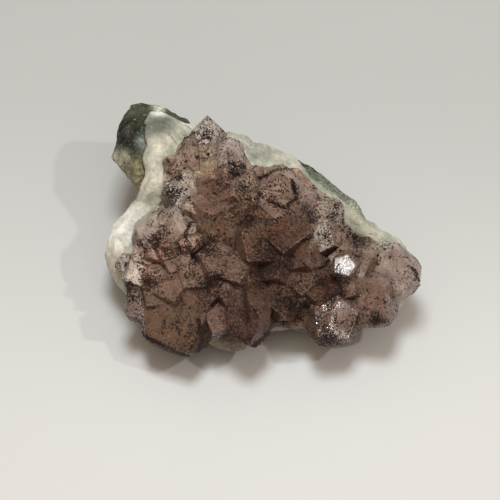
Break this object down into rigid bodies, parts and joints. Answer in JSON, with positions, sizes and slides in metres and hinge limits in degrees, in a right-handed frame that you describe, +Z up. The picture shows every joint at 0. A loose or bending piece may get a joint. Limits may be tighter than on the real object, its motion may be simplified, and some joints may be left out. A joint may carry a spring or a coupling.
{
  "type": "amethyst cluster",
  "caption": "Hand specimen of smoky mauve amethyst crystals on milky quartz, on a broken piece of dark green-grey basalt, lying on a small flat spot.",
  "frame": {"origin": "on the ground, under the middle of the bounding box", "axes": "+Z up as it lies, +X to the right seen from the front, and the crystal face looks up and towards -Y"},
  "size_m": [0.0858, 0.0804, 0.0443],
  "materials": {
    "amethyst": "clear natural crystal faces, mauve-brown, with dark specks inside",
    "milky_quartz": "milky, slightly greenish white, broken and granular",
    "basalt": "rough fractured rock, green-grey to near black"
  },
  "bodies": {
    "root": {"amethyst_crystals": "amethyst", "quartz_matrix": "milky_quartz", "basalt_rind": "basalt"}
  },
  "joints": []
}
